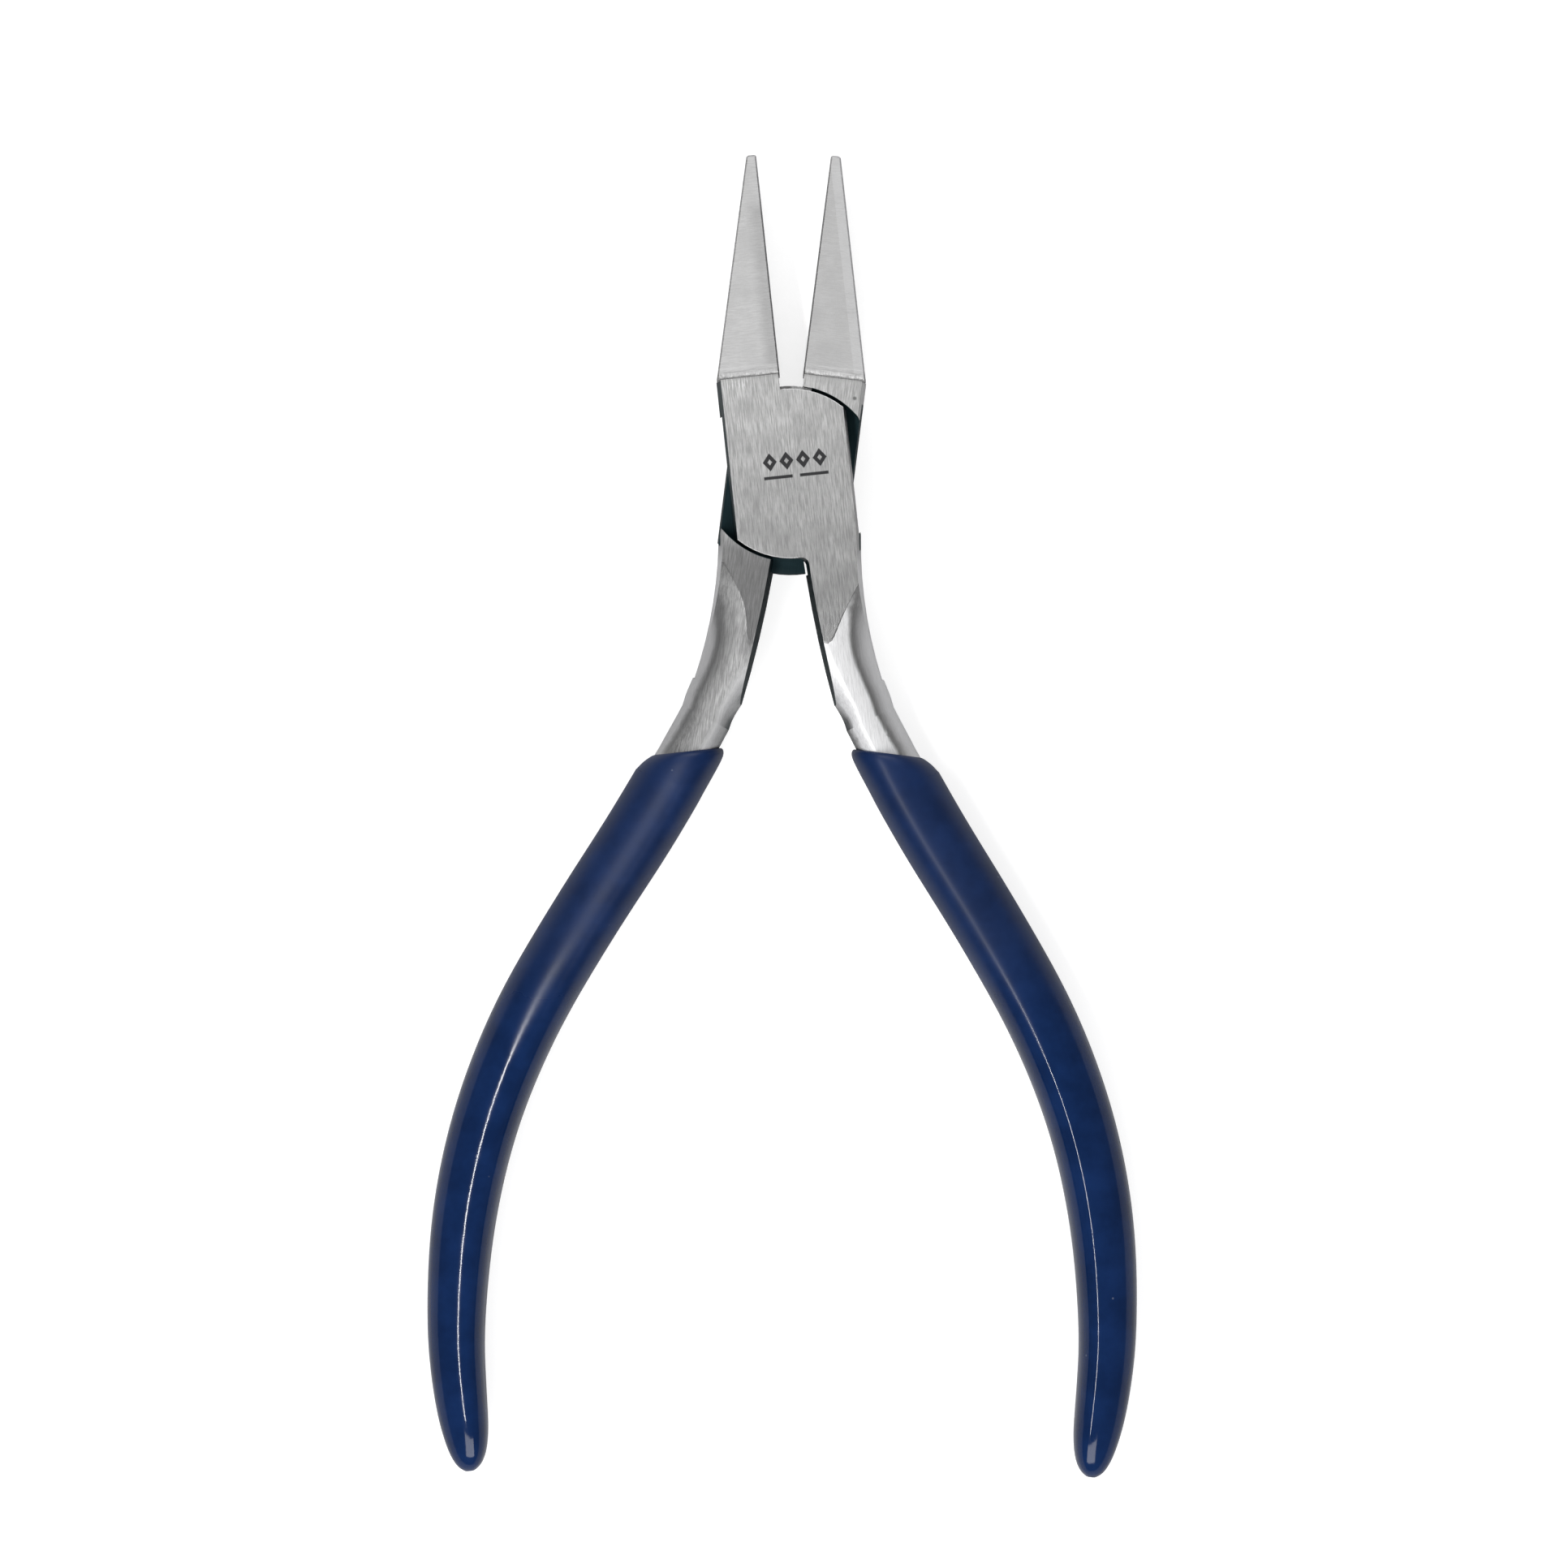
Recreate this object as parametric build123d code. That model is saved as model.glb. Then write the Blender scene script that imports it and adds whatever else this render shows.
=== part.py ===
from build123d import *
import os
from math import atan, cos, degrees, radians, sin

# Flat nose pliers with a box joint. Millimetres, +Z up, lying flat on the back of the joint.
# The pivot is the Z axis and the jaws point to +Y. Each half is drawn closed, then turned open.

# overall sizes
jaw_reach = 30.9            # pivot to the tip of the jaws
handle_reach = 99.0         # pivot to the end of the grips
handle_bow = 22.2           # furthest the middle of a handle stands off the centre line, closed
joint_width = 12.28
joint_thickness = 9.0
rest_opening = 13.35        # angle between the two jaw faces as the tool lies
full_opening = 36.0         # angle at which the tongue meets the stop lugs

# jaws
jaw_tip_width = 0.94
jaw_tip_thickness = 3.8
jaw_step = 0.28             # how far the jaw drops below the joint face at its root
step_radius = 1.1
closed_gap = 0.02           # between the gripping faces when shut
jaw_edge = 0.15             # broken edges of the jaws
throat_relief = 0.12        # the throat stands back from each gripping face

# box joint
tongue_thickness = 3.6
tongue_clearance = 0.05     # each side of the tongue
plate_radius = 8.12         # rounded ends of the two outer plates
shoulder_clearance = 0.30   # plate ends to the shoulders of the inner half
cheek_length = 1.48         # flat face between a plate's end and the start of the jaw
tongue_lead = 0.38          # how far the tongue reaches past the plates towards the jaws
tongue_tail = 1.48          # and towards the handles
slot_clearance = 0.2        # round the tongue inside the box
stop_margin = 0.4           # degrees left between the tongue and the lugs at either end
side_draft = 0.45           # slope of the forged sides, measured at the face
crotch_radius = 0.7

# pivot pin
pin_radius = 2.0
pin_flare = 0.35
hub_wall = 2.2              # steel of the tongue round the pin
running_clearance = 0.03

# handles and grips
crest_lean = 0.36           # how far the crest of a handle leans inwards, as a share of its half width
grip_wall = 0.85
grip_lip = 0.5              # rounding of the open end of a grip
grip_start = 26.0           # pivot to the rim of a grip, measured down the centre line
rim_fall = 13.3             # degrees by which the rim runs down away from the centre line
grip_end_cover = 1.7        # plastic beyond the end of the steel

half_width = joint_width / 2
middle = joint_thickness / 2
shoulder_radius = plate_radius + shoulder_clearance
jaw_root = plate_radius + cheek_length
tongue_head = plate_radius + tongue_lead
tongue_foot = plate_radius + tongue_tail
tongue_hub = pin_radius + hub_wall
neck_start = plate_radius + 0.4
neck_length = 19.5
draft_angle = degrees(atan(side_draft / middle))

# Ovals of the right handle, closed. Neck: share of its length, centre and half width as shares
# of the joint's half width, turn of the bar, half height as a share of the joint's on the right
# handle and on the left one, which is ground lower at its root, lean.
neck = [
    (0.00, 0.245, 1.010, 0, 1.70, 1.32, 0.0),
    (0.18, 0.245, 0.977, 2, 1.21, 1.05, 0.0),
    (0.40, 0.340, 0.700, 6, 1.00, 1.00, 0.3),
    (0.59, 0.590, 0.485, 14, 0.916, 0.916, 0.7),
]
# Shank: share of its length, centre as a share of the bow, half width, turn, half height share.
# The first oval is the end of the neck, just above the grip.
shank = [
    (-0.054, 0.232, 2.54, 21, 0.835),
    (0.000, 0.300, 2.55, 23, 0.795),
    (0.113, 0.456, 2.56, 25.5, 0.769),
    (0.240, 0.649, 2.52, 25, 0.760),
    (0.380, 0.837, 2.50, 18.5, 0.742),
    (0.521, 0.956, 2.37, 10, 0.711),
    (0.662, 0.998, 2.22, 1.5, 0.671),
    (0.803, 0.974, 1.93, -7, 0.609),
    (0.894, 0.920, 1.70, -13, 0.544),
]


def oval(x, y, width, turn, height, lean):
    """Egg-shaped section square to the bar, its crest leaning towards the other handle."""
    across = (cos(radians(turn)), sin(radians(turn)), 0)
    along = (sin(radians(turn)), -cos(radians(turn)), 0)
    inner = EllipticalCenterArc((-lean, 0), width - lean, height, 90, arc_size=180)
    outer = EllipticalCenterArc((-lean, 0), width + lean, height, -90, arc_size=180)
    return Plane(origin=(x, y, middle), x_dir=across, z_dir=along) * make_face([inner, outer])


def shank_oval(share, out, width, turn, height, wall=0):
    """Oval of the shank, grown by the wall of the grip."""
    y = -neck_start - neck_length - share * (handle_reach - neck_start - neck_length)
    return oval(out * handle_bow, y, width + wall, turn, height * middle + wall, crest_lean * width)


def steel_bar(side):
    """Oval bar from inside the joint to just short of the grip's end; side 0 right, 1 left."""
    root = []
    for share, out, width, turn, *heights, lean in neck:
        y = -neck_start - share * neck_length
        height = heights[side] * middle
        root.append(oval(out * half_width, y, width * half_width, turn, height, lean))
    root.append(shank_oval(*shank[0]))
    held = [shank_oval(*row) for row in shank]
    end = 1 - grip_end_cover / (handle_reach - neck_start - neck_length)
    held.append(shank_oval(end - 0.035, 0.870, 1.45, -15, 0.46))
    held.append(shank_oval(end, 0.850, 0.95, -15, 0.31))
    return loft(root) + loft(held)


def grip_shell():
    """Outside of the dipped grip: the bar's ovals grown by the wall, a flat rim, a round end."""
    ovals = [shank_oval(*row, wall=grip_wall) for row in shank]
    ovals.append(shank_oval(0.945, 0.876, 1.40, -15, 0.445, wall=grip_wall))
    ovals.append(shank_oval(0.978, 0.848, 0.85, -15, 0.30, wall=grip_wall))
    ovals.append(shank_oval(0.995, 0.836, 0.10, -15, 0.09, wall=grip_wall))
    ovals.append(shank_oval(1.000, 0.833, 0.30, -15, 0.08))
    dipped = Pos(0, -handle_reach, 0) * Box(4 * handle_bow, 2 * handle_reach, 4 * joint_thickness)
    return loft(ovals) & Pos(0, -grip_start, middle) * Rot(0, 0, -rim_fall) * dipped


def sector(radius, start, stop):
    """Slice of a disc between two angles, measured from +X."""
    long = 4 * radius
    points = [(0, 0)]
    for i in range(4):
        turn = radians(start + (stop - start) * i / 3)
        points.append((long * cos(turn), long * sin(turn)))
    return Circle(radius) & make_face(Polyline(*points, close=True))


def drafted(outline):
    """Forged body: the outline at mid height, its sides sloping in towards both faces."""
    upper = extrude(outline, middle, taper=draft_angle)
    return Pos(0, 0, middle) * (upper + mirror(upper, about=Plane.XY))


def band():
    """Strip of joint that both halves share, with the same forged sides."""
    w = half_width
    t = half_width - side_draft
    ring = Polyline((-w, 0), (-t, middle), (t, middle), (w, 0), (t, -middle), (-t, -middle), close=True)
    slab = extrude(Plane.XZ * make_face(ring), jaw_root, both=True)
    return Pos(0, 0, middle) * slab


def handle_root():
    """Flat root of the right handle, widening past the bar below the neck."""
    w = half_width
    side = Line((w, -4.0), (w, -6.5))
    outer = ThreePointArc((w, -6.5), (w - 0.27, -14.0), (w + 0.55, -20.5))
    inner = ThreePointArc((1.85, -22.5), (0.86, -15.0), (0.30, -4.0))
    top = Line(inner @ 1, side @ 0)
    wide = handle_bow + joint_width
    deep = handle_reach + joint_width
    low = Polyline(outer @ 1, (wide, -30), (wide, -deep), (-wide, -deep), (-wide, -23.5), inner @ 0)
    return make_face([side, outer, low, inner, top])


def left_jaw():
    """Left jaw: plan triangle cut to the tapered side view."""
    gap = closed_gap / 2
    plan = Polyline(
        (-gap, 0), (-gap, jaw_reach), (-jaw_tip_width, jaw_reach),
        (-half_width + 0.07, jaw_root), (-half_width + 0.07, 0), close=True,
    )
    blank = extrude(make_face(plan), joint_thickness)
    root = middle - jaw_step
    fall = (root - jaw_tip_thickness / 2) / (jaw_reach - jaw_root)
    foot = jaw_root + step_radius
    wall = Line((jaw_root, middle + 1), (jaw_root, middle))
    curve = Bezier((jaw_root, middle), (jaw_root + 0.1, root), (foot, root - fall * step_radius))
    end = jaw_reach + 1
    slope = Polyline(curve @ 1, (end, jaw_tip_thickness / 2 - fall), (end, middle + 1), (jaw_root, middle + 1))
    cut = extrude(Plane.YZ * make_face([wall, curve, slope]), joint_width, both=True)
    cuts = cut + mirror(cut, about=Plane.XY)
    return blank - Pos(0, 0, middle) * cuts


def plug(radius, height):
    """Disc centred on the pivot at mid height."""
    return Pos(0, 0, middle) * Cylinder(radius, height)


def block(x0, x1, y0, y1):
    """Box through the full thickness between plan limits."""
    across = x1 - x0
    along = y1 - y0
    return Pos(x0 + across / 2, y0 + along / 2, middle) * Box(across, along, joint_thickness)


def jaw_side():
    """Left jaw with broken edges, and the part of the joint it grows from."""
    jaw = left_jaw() & block(-joint_width, 0, jaw_root, jaw_reach + 1)
    edges = [edge for edge in jaw.edges() if edge.center().Y > jaw_root + 2 * step_radius]
    throat = band() & block(-joint_width, -closed_gap / 2 - throat_relief, 0, jaw_root)
    return chamfer(edges, jaw_edge) + throat


def handle_side(bar):
    """Right handle: forged root running into the oval bar."""
    root = drafted(handle_root())
    return root & (bar + block(-1, joint_width, -neck_start - 0.7, 0))


def middle_layer(outline, thickness):
    """Outline thickened about the mid plane of the joint."""
    return Pos(0, 0, middle) * extrude(outline, thickness / 2, both=True)


def pin_shape():
    """Pivot pin, flared into both faces and ground flush."""
    flare = Pos(0, 0, joint_thickness - pin_flare / 2) * Cone(pin_radius, pin_radius + pin_flare, pin_flare)
    return plug(pin_radius, joint_thickness) + flare + mirror(flare, about=Plane.XY.offset(middle))


def box_half():
    """Left jaw, two outer plates, right handle; a slot between the plates takes the tongue."""
    body = jaw_side() + (band() & plug(plate_radius, joint_thickness)) + handle_side(steel_bar(0))
    corner = Vector(side_draft / 2 + 0.4, -plate_radius, middle)
    nearest = sorted(body.edges(), key=lambda edge: (edge.center() - corner).length)
    body = fillet(nearest[:2], crotch_radius)
    foot = tongue_foot + slot_clearance
    half_swing = full_opening / 2
    lug = sector(foot + 1, 90 + half_swing, 90 + full_opening - stop_margin)
    lugs = lug + Rot(0, 0, 180) * lug - Circle(tongue_hub + slot_clearance)
    slot = Circle(tongue_head + slot_clearance) + sector(foot, 178, 271 + half_swing)
    slot = slot + Pos(6, 6) * Rectangle(12, 12) + Pos(-6, -6) * Rectangle(12, 12)
    body = body - middle_layer(slot - lugs, tongue_thickness + 2 * tongue_clearance)
    return body - pin_shape()


def through_half():
    """Right jaw and left handle, joined by the tongue that runs between the plates."""
    sides = mirror(jaw_side() + handle_side(steel_bar(1)), about=Plane.YZ)
    sides = sides - plug(shoulder_radius, joint_thickness + 1)
    half_swing = full_opening / 2
    head = sector(tongue_head, -half_swing, 90 + half_swing - 2)
    foot = sector(tongue_foot, 180 - half_swing, 270 + half_swing - 2)
    tongue = middle_layer(head + foot + Circle(tongue_hub), tongue_thickness) & band()
    return sides + tongue - plug(pin_radius + running_clearance, joint_thickness)


def grip(bar):
    """Dipped plastic grip round the end of a handle."""
    shell = grip_shell()
    rim = shell.faces().sort_by(Axis.Y)[-1]
    return fillet(rim.edges(), grip_lip) - bar


box = box_half()
through = through_half()
right_grip = grip(steel_bar(0))
left_grip = mirror(right_grip, about=Plane.YZ)

turned_left = Rot(0, 0, rest_opening / 2)
turned_right = Rot(0, 0, -rest_opening / 2)
os.makedirs("parts", exist_ok=True)
export_step(turned_left * box, "parts/box_half.step")
export_step(turned_right * through, "parts/through_half.step")
export_step(turned_left * pin_shape(), "parts/pivot_pin.step")
export_step(turned_left * right_grip, "parts/right_grip.step")
export_step(turned_right * left_grip, "parts/left_grip.step")
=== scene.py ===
from math import cos, pi, radians, sin
import bpy
import bmesh
from mathutils import Euler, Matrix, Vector


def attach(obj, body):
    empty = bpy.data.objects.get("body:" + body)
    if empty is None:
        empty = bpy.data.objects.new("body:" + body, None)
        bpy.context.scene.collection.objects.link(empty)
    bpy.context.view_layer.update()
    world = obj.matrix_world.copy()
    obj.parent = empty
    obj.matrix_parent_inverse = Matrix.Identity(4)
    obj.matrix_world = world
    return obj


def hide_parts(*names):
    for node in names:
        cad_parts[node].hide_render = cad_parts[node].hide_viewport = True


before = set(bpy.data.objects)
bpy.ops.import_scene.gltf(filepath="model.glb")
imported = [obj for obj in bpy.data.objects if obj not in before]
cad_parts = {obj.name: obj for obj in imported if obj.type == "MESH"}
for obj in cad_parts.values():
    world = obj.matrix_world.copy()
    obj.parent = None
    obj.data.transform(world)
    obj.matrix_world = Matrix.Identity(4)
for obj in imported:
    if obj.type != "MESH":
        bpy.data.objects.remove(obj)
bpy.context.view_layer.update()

# Box half: left jaw, the two outer plates of the joint and the right handle. One steel forging,
# ground flat front and back along its length, its hollow joint left black from the hardening.
# Places are in mm in the frame of the shut tool: x to the right, y to the jaw tips, z up.
box_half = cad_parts["box_half"]
HALF_OPEN = radians(13.35 / 2)
FRONT = 9.0
PLATE_RADIUS = 8.12
JAW_ROOT = 9.6
STEEL_DULL = (0.39, 0.39, 0.388, 1)
STEEL_CUT = (0.74, 0.74, 0.737, 1)
STEEL_WORN = (0.34, 0.34, 0.34, 1)
STEEL_TOWARD_HANDLES = (0.06, 0.06, 0.062, 1)
STEEL_JAW = (0.86, 0.86, 0.862, 1)
STEEL_BRIGHT = (0.92, 0.92, 0.93, 1)
STEEL_SHADOW = (0.05, 0.05, 0.052, 1)
SKIN_DARK = (0.008, 0.017, 0.020, 1)
SKIN_LIGHT = (0.024, 0.045, 0.052, 1)
LINE_WIDTH = 0.00012
LINE_LENGTH = 0.0019


def feed(tree, socket, value):
    """Link a socket into socket, or set its number or colour."""
    if isinstance(value, bpy.types.NodeSocket):
        tree.links.new(value, socket)
    else:
        socket.default_value = value


def add(tree, kind, **values):
    """New shader node; values are its settings, or its sockets when they have that name."""
    made = tree.nodes.new(kind)
    for name, value in values.items():
        if hasattr(made, name):
            setattr(made, name, value)
        elif name[1:].isdigit():
            feed(tree, made.inputs[int(name[1:])], value)
        else:
            feed(tree, made.inputs[name.replace("_", " ")], value)
    return made


def calc(tree, operation, *values):
    """Math node on sockets or numbers, giving its result socket."""
    made = tree.nodes.new("ShaderNodeMath")
    made.operation = operation
    for socket, value in zip(made.inputs, values):
        feed(tree, socket, value)
    return made.outputs[0]


def times(tree, mask, *others):
    """Product of masks and numbers."""
    for other in others:
        mask = calc(tree, "MULTIPLY", mask, other)
    return mask


def most(tree, mask, *others):
    """Largest of several masks."""
    for other in others:
        mask = calc(tree, "MAXIMUM", mask, other)
    return mask


def ramp(tree, value, start, end, low=0.0, high=1.0):
    """low up to start, high from end on, straight in between."""
    return add(tree, "ShaderNodeMapRange", _0=value, _1=start, _2=end, _3=low, _4=high).outputs[0]


def above(tree, value, limit, soft):
    """1 where value is over limit, fading over soft on both sides of it."""
    return ramp(tree, value, limit - soft, limit + soft)


def below(tree, value, limit, soft):
    """1 where value is under limit, fading over soft on both sides of it."""
    return ramp(tree, value, limit - soft, limit + soft, 1.0, 0.0)


def band(tree, value, low, high, soft):
    """1 where value lies between low and high, fading over soft at both ends."""
    return times(tree, above(tree, value, low, soft), below(tree, value, high, soft))


def blend(tree, share, first, second):
    """Colour mix of two colours or sockets."""
    made = tree.nodes.new("ShaderNodeMix")
    made.data_type = "RGBA"
    feed(tree, made.inputs[0], share)
    feed(tree, made.inputs[6], first)
    feed(tree, made.inputs[7], second)
    return made.outputs[2]


def grinding_group():
    """Marks of a belt run along Y: fine streaks, broad cloudiness."""
    group = bpy.data.node_groups.new("belt grinding", "ShaderNodeTree")
    group.interface.new_socket("Position", in_out="INPUT", socket_type="NodeSocketVector")
    group.interface.new_socket("Line Width", in_out="INPUT", socket_type="NodeSocketFloat")
    group.interface.new_socket("Line Length", in_out="INPUT", socket_type="NodeSocketFloat")
    group.interface.new_socket("Streaks", in_out="OUTPUT", socket_type="NodeSocketFloat")
    group.interface.new_socket("Clouds", in_out="OUTPUT", socket_type="NodeSocketFloat")
    source = group.nodes.new("NodeGroupInput").outputs
    across = calc(group, "DIVIDE", 1.0, source["Line Width"])
    along = calc(group, "DIVIDE", 1.0, source["Line Length"])
    stretch = add(group, "ShaderNodeCombineXYZ", X=across, Y=along, Z=across).outputs[0]
    squeezed = add(group, "ShaderNodeVectorMath", operation="MULTIPLY", _0=source["Position"], _1=stretch)
    streaks = add(group, "ShaderNodeTexNoise", Vector=squeezed.outputs[0], Scale=1.0,
                  Detail=3.0, Roughness=0.65)
    clouds = add(group, "ShaderNodeTexNoise", Vector=source["Position"], Scale=420.0,
                 Detail=4.0, Roughness=0.6)
    result = group.nodes.new("NodeGroupOutput")
    group.links.new(streaks.outputs[0], result.inputs["Streaks"])
    group.links.new(clouds.outputs[0], result.inputs["Clouds"])
    return group


grinding = grinding_group()


def belt_marks(tree, position, width, length):
    """Grinding group in a material, giving its outputs."""
    marks = tree.nodes.new("ShaderNodeGroup")
    marks.node_tree = grinding
    tree.links.new(position, marks.inputs["Position"])
    marks.inputs["Line Width"].default_value = width
    marks.inputs["Line Length"].default_value = length
    return marks.outputs


def steel_material(name, turn):
    """Bare steel, with its place in mm and its normal in the frame of the shut tool."""
    made = bpy.data.materials.new(name)
    made.use_nodes = True
    tree = made.node_tree
    shader = tree.nodes["Principled BSDF"]
    shader.inputs["Metallic"].default_value = 1.0
    source = tree.nodes.new("ShaderNodeTexCoord").outputs
    turned = add(tree, "ShaderNodeMapping", vector_type="POINT", Vector=source["Object"],
                 Rotation=(0, 0, turn))
    turned.name = "belt frame"
    place = add(tree, "ShaderNodeVectorMath", operation="SCALE", _0=turned.outputs[0], Scale=1000.0)
    place.name = "belt millimetres"
    at = add(tree, "ShaderNodeSeparateXYZ", _0=place.outputs[0]).outputs
    facing = add(tree, "ShaderNodeMapping", vector_type="VECTOR", Vector=source["Normal"],
                 Rotation=(0, 0, turn))
    normal = add(tree, "ShaderNodeSeparateXYZ", _0=facing.outputs[0]).outputs
    return made, tree, shader, at, normal, belt_marks(tree, turned.outputs[0], LINE_WIDTH, LINE_LENGTH)


def from_pivot(tree, at):
    """Distance from the pivot in plan."""
    return calc(tree, "SQRT", calc(tree, "ADD", times(tree, at[0], at[0]), times(tree, at[1], at[1])))


def finish_steel(tree, shader, at, marks, dark, shade, light):
    """Steel colour, roughness and relief. shade darkens and light brightens the bare steel, both for
    marks on it and for painted shade, painted highlights and painted reflections; dark takes the
    black skin's colour: the skin itself, painted shade down the inner side of the necks, and the
    left side of the joint. The jaws are ground across, the plates and handles along."""
    jaw = above(tree, at[1], JAW_ROOT + 0.5, 0.3)
    neck = below(tree, at[1], -13.5, 1.8)
    cross = belt_marks(tree, tree.nodes["belt frame"].outputs[0], 0.0014, 0.00017)
    plain = calc(tree, "SUBTRACT", 1.0, jaw)
    lines = calc(tree, "ADD", times(tree, jaw, cross["Streaks"]), times(tree, plain, marks["Streaks"]))
    tone = blend(tree, ramp(tree, lines, 0.38, 0.62), STEEL_DULL, STEEL_CUT)
    tone = blend(tree, times(tree, ramp(tree, marks["Clouds"], 0.40, 0.66), 0.4), tone, STEEL_WORN)
    # Darker down toward the handles.
    tone = blend(tree, ramp(tree, at[1], 9.0, -14.0, 0.0, 0.46), tone, STEEL_TOWARD_HANDLES)
    tone = blend(tree, times(tree, jaw, 0.42), tone, STEEL_JAW)
    tone = blend(tree, light, tone, STEEL_BRIGHT)
    tone = blend(tree, shade, tone, STEEL_SHADOW)
    tone = blend(tree, dark, tone, blend(tree, marks["Clouds"], SKIN_DARK, SKIN_LIGHT))
    tree.links.new(tone, shader.inputs["Base Color"])
    rough = calc(tree, "ADD", ramp(tree, lines, 0.3, 0.7, 0.48, 0.38), times(tree, dark, 0.2))
    tree.links.new(rough, shader.inputs["Roughness"])
    height = times(tree, lines, calc(tree, "ADD", 1.0, times(tree, neck, 2.2)))
    relief = add(tree, "ShaderNodeBump", Strength=0.4, Distance=0.00002, Height=height)
    tree.links.new(relief.outputs[0], shader.inputs["Normal"])


def soften_metal(tree, shader, mask, amount):
    """Finely scattered finish: less mirror, more even light, where mask is 1."""
    tree.links.new(calc(tree, "SUBTRACT", 1.0, times(tree, mask, amount)), shader.inputs["Metallic"])


def lozenges(tree, at):
    """Etched ornament on the front plate: four lozenges over two short thin lines."""
    pitch = 0.8
    half_row = 4 * pitch
    flat = add(tree, "ShaderNodeCombineXYZ", X=at[0], Y=at[1], Z=0.0).outputs[0]
    local = add(tree, "ShaderNodeMapping", vector_type="POINT", Vector=flat, Location=(-0.55, -1.25, 0))
    x, y, _ = add(tree, "ShaderNodeSeparateXYZ", _0=local.outputs[0]).outputs
    cell = calc(tree, "SUBTRACT", pitch, calc(tree, "PINGPONG", calc(tree, "ADD", x, half_row), pitch))
    size = calc(tree, "ADD", cell, times(tree, calc(tree, "ABSOLUTE", y), 0.78))
    row = band(tree, x, -half_row, half_row, 0.02)
    hole_and_painted_shade = times(tree, below(tree, size, 0.22, 0.03), row)
    outline = calc(tree, "SUBTRACT", times(tree, below(tree, size, 0.68, 0.03), row), hole_and_painted_shade)
    dashes = band(tree, calc(tree, "ABSOLUTE", x), 0.35, 3.1, 0.03)
    dashes = times(tree, band(tree, y, -1.66, -1.36, 0.03), dashes)
    return times(tree, most(tree, outline, dashes), calc(tree, "GREATER_THAN", at[2], FRONT - 0.1))


box_steel, tree, shader, at, normal, marks = steel_material("box half steel", -HALF_OPEN)
x, y, z = at
nx, ny, nz = normal
radius = from_pivot(tree, at)
# Black skin in the slot. The left side of the joint is darkened to the skin colour, and so is the inner side
# of the neck, as painted shade.
slot = times(tree, band(tree, z, 2.62, 6.38, 0.03), below(tree, radius, 9.9, 0.03))
left_side = times(tree, below(tree, nx, -0.85, 0.05), band(tree, y, -9.0, 9.55, 0.03), 0.97)
# Painted shade down the inner side wall of the neck, in the skin colour.
inner_wall = times(tree, below(tree, nx, -0.8, 0.08), band(tree, y, -22.0, -7.0, 0.6))
lower_edge = times(tree, below(tree, nx, -0.93, 0.05), below(tree, y, -20.5, 1.0))
inner_wall = times(tree, most(tree, inner_wall, lower_edge), calc(tree, "GREATER_THAN", x, 0.2))
dark = most(tree, slot, left_side, inner_wall)
# Darker at the etched mark and along the throat; painted shade in the step below the jaw.
step = times(tree, band(tree, y, JAW_ROOT + 0.02, JAW_ROOT + 0.7, 0.3), 0.45)
throat = times(tree, above(tree, x, -1.15, 0.5), band(tree, y, JAW_ROOT + 0.1, 26, 0.6), 0.2)
shade = most(tree, lozenges(tree, at), step, throat)
# Painted highlight on the plate's round edge; brighter at nicks below the step. Painted highlight, made less
# mirror-like too, over the inner part and crest of the neck, and painted reflection on its outer flank.
# Painted highlight: a thin bright line along the round edges of the plates.
edge_highlight = times(tree, band(tree, radius, PLATE_RADIUS - 0.07, PLATE_RADIUS + 0.08, 0.03),
            calc(tree, "GREATER_THAN", nz, 0.9), calc(tree, "GREATER_THAN", times(tree, x, y), 1.0))
nicks = times(tree, band(tree, y, 8.75, 9.55, 0.15), band(tree, x, -5.6, -3.2, 0.4),
              above(tree, marks["Streaks"], 0.55, 0.03))
# Painted highlight: the neck's inner part and crest, picked by the way the surface faces.
painted_bright_zone = times(tree, below(tree, y, -10.0, 1.0), band(tree, nx, -0.86, 0.49, 0.055),
               calc(tree, "LESS_THAN", z, FRONT - 0.03))
# Painted reflection: the neck's outer flank made brighter.
flank_reflection = times(tree, below(tree, y, -8.5, 1.0), above(tree, nx, 0.57, 0.10))
grain = ramp(tree, marks["Streaks"], 0.36, 0.62, 0.70, 0.94)
light = most(tree, times(tree, most(tree, edge_highlight, nicks), 0.6), times(tree, painted_bright_zone, grain),
             times(tree, flank_reflection, 0.75))
finish_steel(tree, shader, at, marks, dark, shade, light)
soften_metal(tree, shader, painted_bright_zone, 0.8)
box_half.data.materials[0] = box_steel

# Pivot pin: a plain steel pin driven through plates and tongue, spread into its countersinks
# and ground off flush with the plates in the same pass.
pivot_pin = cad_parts["pivot_pin"]
pivot_pin.data.materials[0] = box_steel

# Through half: right jaw, the narrow tongue that fills the slot of the box half, left handle.
# Forged and ground like the other half; only its outside was ground bright again.
through_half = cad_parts["through_half"]
through_steel, tree, shader, at, normal, marks = steel_material("through half steel", HALF_OPEN)
x, y, z = at
nx, ny, nz = normal
radius = from_pivot(tree, at)
# Black skin on the tongue and the shoulders round the plates; where the shoulders show in the narrow gap at
# the plates' edge, the dark is also painted shade. The inner side of the neck is darkened to the skin colour
# as painted shade.
tongue = times(tree, band(tree, z, 2.66, 6.34, 0.03), below(tree, radius, 9.66, 0.03))
shoulder = below(tree, radius, PLATE_RADIUS + 0.33, 0.02)
throat = times(tree, calc(tree, "GREATER_THAN", y, 8.0), calc(tree, "LESS_THAN", x, 1.0))
skin = times(tree, most(tree, tongue, shoulder), calc(tree, "SUBTRACT", 1.0, throat))
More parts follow.
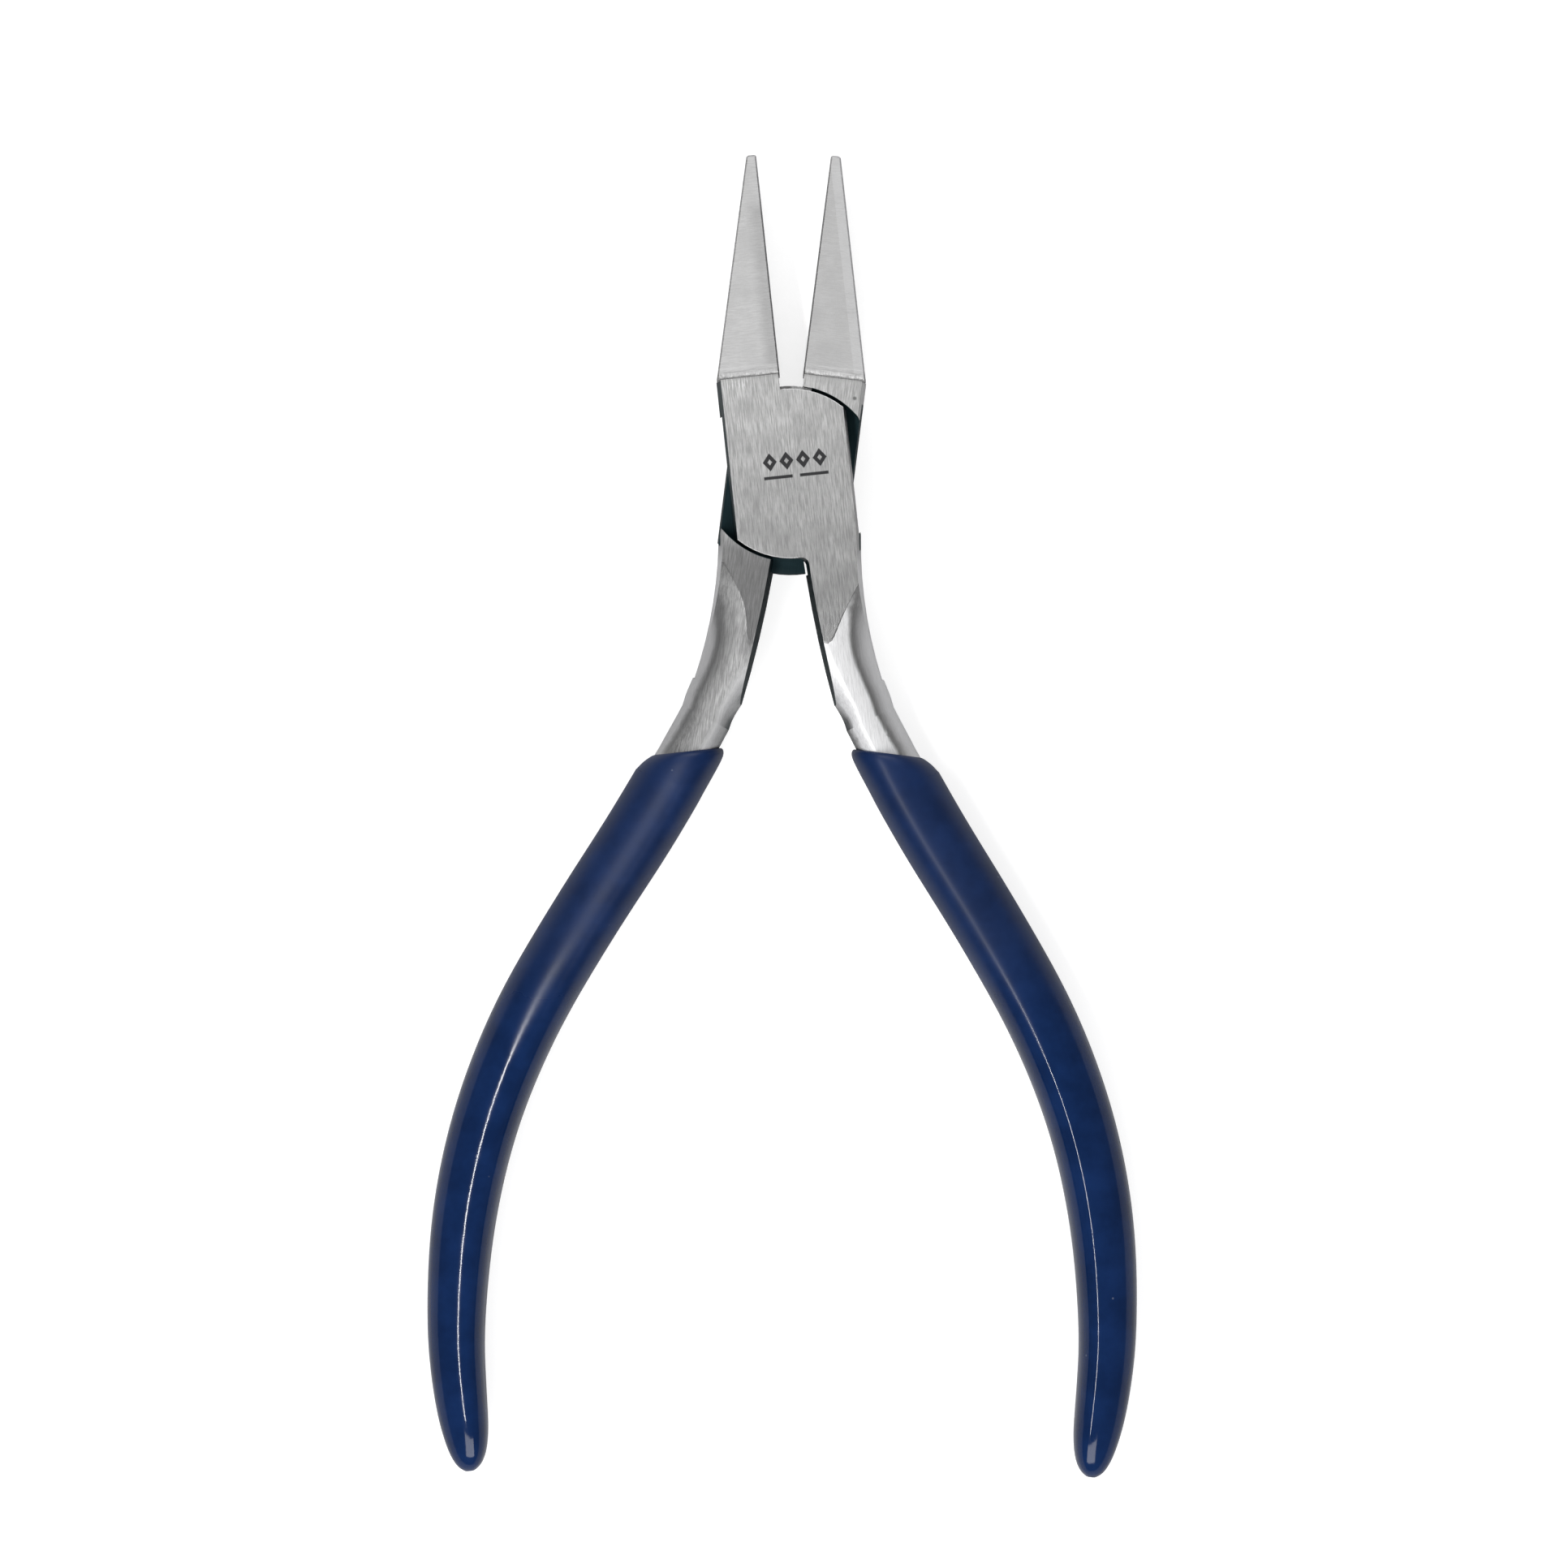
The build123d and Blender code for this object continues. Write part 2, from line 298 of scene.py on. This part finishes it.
# Painted shade down the inner side wall of the neck, in the skin colour.
inner_wall = times(tree, above(tree, nx, 0.8, 0.08), band(tree, y, -22.0, -7.0, 0.6))
lower_edge = times(tree, above(tree, nx, 0.93, 0.05), below(tree, y, -20.5, 1.0))
inner_wall = times(tree, most(tree, inner_wall, lower_edge), calc(tree, "LESS_THAN", x, -0.2))
dark = most(tree, skin, inner_wall)
# Painted shade in the step, and a painted dark band of shade down the neck's outer slope; darker on the flat
# root and the neck, and in one small dent.
step = times(tree, band(tree, y, JAW_ROOT + 0.02, JAW_ROOT + 0.7, 0.3), 0.4)
root = times(tree, band(tree, y, -17.5, -7.0, 1.0), calc(tree, "GREATER_THAN", nz, 0.985), 0.46)
neck = times(tree, below(tree, y, -9, 1.5), 0.12)
dent = add(tree, "ShaderNodeVectorMath", operation="DISTANCE",
           _0=tree.nodes["belt millimetres"].outputs[0], _1=(5.2, 7.9, FRONT)).outputs["Value"]
dent = times(tree, below(tree, dent, 0.17, 0.06), 0.7)
# Painted shade: a dark band down the outer slope of the neck, picked by the way the surface faces.
slope = calc(tree, "SUBTRACT", nx, ramp(tree, y, -18.0, -12.0, 0.0, 0.2))
hole_and_painted_shade = times(tree, band(tree, slope, -0.79, -0.63, 0.06), below(tree, y, -11.5, 1.0), 0.40)
shade = most(tree, dent, step, neck, hole_and_painted_shade, root)
# Brighter on the polished outer facet of the jaw; painted reflection on the neck's outer flank and a painted
# highlight on its inner side.
outer_edge = calc(tree, "ADD", x, times(tree, calc(tree, "SUBTRACT", y, JAW_ROOT), 0.241))
polished = times(tree, calc(tree, "GREATER_THAN", outer_edge, 5.0), above(tree, y, JAW_ROOT + 0.7, 0.3), 0.3)
# Painted reflection on the outer flank and painted highlight on the inner side of the neck, picked by the
# way the surface faces.
flank_reflection = times(tree, below(tree, y, -8.5, 1.0), below(tree, nx, -0.68, 0.14), 0.65)
inner_side = times(tree, below(tree, y, -17.0, 1.0), band(tree, nx, 0.18, 0.86, 0.2), 0.5)
light = most(tree, polished, flank_reflection, inner_side)
finish_steel(tree, shader, at, marks, dark, shade, light)
satin = times(tree, below(tree, y, -10.0, 1.0), band(tree, nx, -0.58, 0.9, 0.09),
              calc(tree, "LESS_THAN", z, FRONT - 0.03))
soften_metal(tree, shader, satin, 0.72)
through_half.data.materials[0] = through_steel

# Grips: each handle dipped hot into soft vinyl and cured, a glossy skin under a millimetre
# thick. The rim is where the liquid stood, a rounded lip across the neck; the tail is a round
# drop. The rings are in mm, for the right handle of the shut tool.
MID = 0.0045
# Round the rim: inner edge, outer edge, half height, from the mouth of the lip on.
rim_rings = [
    (3.75, -27.60, 8.90, -28.60, 3.40),
    (3.52, -26.92, 9.40, -28.30, 3.68),
    (3.26, -26.88, 9.72, -28.42, 3.95),
    (3.04, -27.08, 10.10, -28.72, 4.20),
    (2.96, -27.60, 10.60, -29.20, 4.36),
    (3.37, -28.75, 10.90, -29.60, 4.42),
    (4.04, -30.40, 11.10, -29.87, 4.43),
    (4.57, -31.70, 11.22, -30.07, 4.43),
]
# Along the handle: centre, half width, turn in degrees, half height, down to the tail.
long_rings = [
    (6.66, -28.02, 3.40, 23.0, 4.43),
    (10.12, -36.04, 3.41, 25.5, 4.31),
    (14.41, -45.06, 3.37, 25.0, 4.27),
    (18.58, -54.99, 3.35, 18.5, 4.19),
    (21.22, -65.00, 3.22, 10.0, 4.05),
    (22.16, -75.01, 3.07, 1.5, 3.87),
    (21.62, -85.02, 2.78, -7.0, 3.59),
    (20.42, -91.48, 2.55, -13.0, 3.30),
    (19.45, -95.10, 2.25, -15.0, 2.85),
    (18.83, -97.44, 1.70, -15.0, 2.20),
    (18.56, -98.62, 0.98, -15.0, 1.28),
    (18.48, -98.97, 0.45, -15.0, 0.55),
]
SIDES = 24
FULLNESS = 1.015
CREST_LEAN = 0.27
RIM_RISE = 6
MOUTH_INSET = 0.0008
TAIL_INSET = 0.00012


def curve_point(rows, place):
    """Row of numbers on a smooth curve through rows, at a place counted in rows."""
    i = min(int(place), len(rows) - 2)
    t = place - i
    before, start, end, after = (rows[max(0, min(len(rows) - 1, k))] for k in (i - 1, i, i + 1, i + 2))
    return [0.5 * (2 * q + (r - p) * t + (2 * p - 5 * q + 4 * r - w) * t * t
                   + (3 * q - p - 3 * r + w) * t ** 3)
            for p, q, r, w in zip(before, start, end, after)]


def select_rings(piece, first, last):
    """Select the rings from first to last of a piece in edit mode."""
    shape = bmesh.from_edit_mesh(piece.data)
    shape.verts.ensure_lookup_table()
    for place, vert in enumerate(shape.verts):
        vert.select = first * SIDES <= place < (last + 1) * SIDES
    shape.select_flush_mode()
    bmesh.update_edit_mesh(piece.data)


rings = []
for x0, y0, x1, y1, height in rim_rings:
    chord = Vector((x1 - x0, y1 - y0))
    turn = chord.angle_signed(Vector((1, 0)))
    rings.append(((x0 + x1) / 2, (y0 + y1) / 2, chord.length / 2, turn, height))
places = [0.45, 0.7] + [1 + k / 3 for k in range(19)] + [7.5, 8, 8.5, 9, 9.5, 10, 11]
for place in places:
    x, y, width, turn, height = curve_point(long_rings, place)
    rings.append((x, y, width, radians(turn), height))

bpy.ops.object.select_all(action="DESELECT")
bpy.ops.mesh.primitive_circle_add(vertices=SIDES, radius=0.001, location=(0, 0, 0))
right_cover = bpy.context.object
right_cover.name = "right_grip_cover"
bpy.ops.object.mode_set(mode="EDIT")
bpy.ops.mesh.select_all(action="SELECT")
bpy.ops.mesh.delete(type="VERT")
for number, (x, y, width, turn, height) in enumerate(rings):
    centre = Vector((x, y, 0)) / 1000
    centre.rotate(Euler((0, 0, HALF_OPEN)))
    centre.z = MID
    spin = turn + HALF_OPEN
    half = width / 1000
    bpy.ops.mesh.select_all(action="DESELECT")
    bpy.ops.mesh.primitive_circle_add(vertices=SIDES, radius=FULLNESS * half, location=centre,
                                      rotation=(pi / 2, 0, spin))
    bpy.ops.transform.resize(value=(1, 1, height / width), center_override=centre, orient_type="GLOBAL")
    shape = bmesh.from_edit_mesh(right_cover.data)
    across = Vector((cos(spin), sin(spin), 0))
    lean = min(1.0, number / RIM_RISE) * CREST_LEAN * half
    for vert in shape.verts:
        if vert.select:
            share = min(1.0, abs((vert.co - centre).dot(across)) / half)
            vert.co -= across * lean * (1 - share)
    bmesh.update_edit_mesh(right_cover.data)
for number in range(len(rings) - 1):
    select_rings(right_cover, number, number + 1)
    bpy.ops.mesh.bridge_edge_loops(type="SINGLE")
for number, inset in ((0, MOUTH_INSET), (len(rings) - 1, TAIL_INSET)):
    select_rings(right_cover, number, number)
    bpy.ops.mesh.edge_face_add()
    bpy.ops.mesh.inset(thickness=inset)
bpy.ops.mesh.select_all(action="SELECT")
bpy.ops.mesh.normals_make_consistent(inside=False)
bpy.ops.object.mode_set(mode="OBJECT")
smooth = right_cover.modifiers.new("smooth", "SUBSURF")
smooth.levels = smooth.render_levels = 2
bpy.ops.object.modifier_apply(modifier="smooth")
bpy.ops.object.shade_smooth()

bpy.ops.object.duplicate()
left_cover = bpy.context.object
left_cover.name = "left_grip_cover"
bpy.ops.object.mode_set(mode="EDIT")
bpy.ops.mesh.select_all(action="SELECT")
bpy.ops.transform.resize(value=(-1, 1, 1), center_override=(0, 0, 0), orient_type="GLOBAL")
bpy.ops.mesh.normals_make_consistent(inside=False)
bpy.ops.object.mode_set(mode="OBJECT")

NAVY_DEEP = (0.0028, 0.0150, 0.064, 1)
NAVY = (0.0050, 0.0225, 0.092, 1)
DUST = (0.30, 0.34, 0.42, 1)
grip_vinyl = bpy.data.materials.new("dipped vinyl")
grip_vinyl.use_nodes = True
tree = grip_vinyl.node_tree
shader = tree.nodes["Principled BSDF"]
shader.inputs["IOR"].default_value = 1.38
place = tree.nodes.new("ShaderNodeTexCoord").outputs["Object"]
mottle = add(tree, "ShaderNodeTexNoise", Vector=place, Scale=260.0, Detail=3.0, Roughness=0.6).outputs[0]
navy = blend(tree, ramp(tree, mottle, 0.35, 0.68), NAVY_DEEP, NAVY)
specks = add(tree, "ShaderNodeTexVoronoi", Vector=place, Scale=230.0).outputs["Distance"]
specks = times(tree, below(tree, specks, 0.022, 0.012), 0.35)
tree.links.new(blend(tree, specks, navy, DUST), shader.inputs["Base Color"])
orange_peel = add(tree, "ShaderNodeTexNoise", Vector=place, Scale=1100.0, Detail=2.0, Roughness=0.5)
relief = add(tree, "ShaderNodeBump", Strength=0.10, Distance=0.00006, Height=orange_peel.outputs[0])
tree.links.new(relief.outputs[0], shader.inputs["Normal"])
gloss = ramp(tree, mottle, 0.3, 0.7, 0.075, 0.12)
along = add(tree, "ShaderNodeSeparateXYZ", _0=place).outputs[1]
dull = ramp(tree, along, -0.057, -0.044, 0.0, 0.34)
tree.links.new(calc(tree, "ADD", gloss, dull), shader.inputs["Roughness"])

covers = ((right_cover, "right_grip", "box_side"), (left_cover, "left_grip", "through_side"))
for cover, node, body in covers:
    cover.data.materials.append(grip_vinyl)
    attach(cover, body)
    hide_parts(node)

# Floor: a plain pale matt sheet that the tool lies on, with pale surroundings. Their glow is
# for the camera alone, so that they look white and put little light on the tool.
WHITE = (1, 1, 1, 1)
PAPER = (0.52, 0.52, 0.523, 1)
GLOW = 0.72
WORLD_LIGHT = 0.13
bpy.ops.object.select_all(action="DESELECT")
bpy.ops.mesh.primitive_plane_add(size=3, location=(0, 0, 0))
floor = bpy.context.object
floor.name = "floor"
paper = bpy.data.materials.new("white sheet")
paper.use_nodes = True
tree = paper.node_tree
shader = tree.nodes["Principled BSDF"]
shader.inputs["Base Color"].default_value = PAPER
shader.inputs["Roughness"].default_value = 0.8
shader.inputs["Emission Color"].default_value = WHITE
seen = tree.nodes.new("ShaderNodeLightPath").outputs["Is Camera Ray"]
tree.links.new(times(tree, seen, GLOW), shader.inputs["Emission Strength"])
floor.data.materials.append(paper)

world = bpy.data.worlds.new("studio")
bpy.context.scene.world = world
world.use_nodes = True
tree = world.node_tree
surroundings = tree.nodes["Background"].inputs
surroundings[0].default_value = WHITE
seen = tree.nodes.new("ShaderNodeLightPath").outputs["Is Camera Ray"]
tree.links.new(calc(tree, "ADD", WORLD_LIGHT, times(tree, seen, GLOW)), surroundings[1])

# Lamps: two broad soft boxes, over the handles and over the jaws, and a long thin strip on the
# left, which draws a narrow line of light down each grip.
AIM = Vector((0, -0.03, 0))


def soft_lamp(name, azimuth, tilt, distance, width, length, power):
    """Area lamp aimed at the tool; azimuth from +X, tilt from straight up, both in degrees."""
    a, t = radians(azimuth), radians(tilt)
    way = Vector((sin(t) * cos(a), sin(t) * sin(a), cos(t)))
    data = bpy.data.lights.new(name, "AREA")
    data.shape = "RECTANGLE"
    data.size = width
    data.size_y = length
    data.energy = power
    lamp = bpy.data.objects.new(name, data)
    lamp.location = AIM + way * distance
    lamp.rotation_euler = way.to_track_quat("Z", "Y").to_euler()
    bpy.context.scene.collection.objects.link(lamp)


soft_lamp("near box", -90, 46, 1.2, 1.0, 0.6, 10.2)
soft_lamp("far box", 90, 50, 1.4, 1.2, 0.5, 8.0)
soft_lamp("strip", 194, 21, 1.0, 0.74, 0.024, 4.2)

# Camera: straight above the middle of the tool, on a long lens, turned by half a degree. The
# frame takes in VIEW_WIDTH metres at the tool's mid height.
HEIGHT = 0.8
VIEW_WIDTH = 0.15094
SENSOR = 36
camera_data = bpy.data.cameras.new("camera")
camera_data.sensor_width = SENSOR
camera_data.lens = SENSOR * HEIGHT / VIEW_WIDTH
camera = bpy.data.objects.new("camera", camera_data)
camera.location = (-0.000314, -0.02974, MID + HEIGHT)
camera.rotation_euler = (0, 0, radians(0.57))
bpy.context.scene.collection.objects.link(camera)
bpy.context.scene.camera = camera
bpy.context.scene.view_settings.view_transform = "Standard"
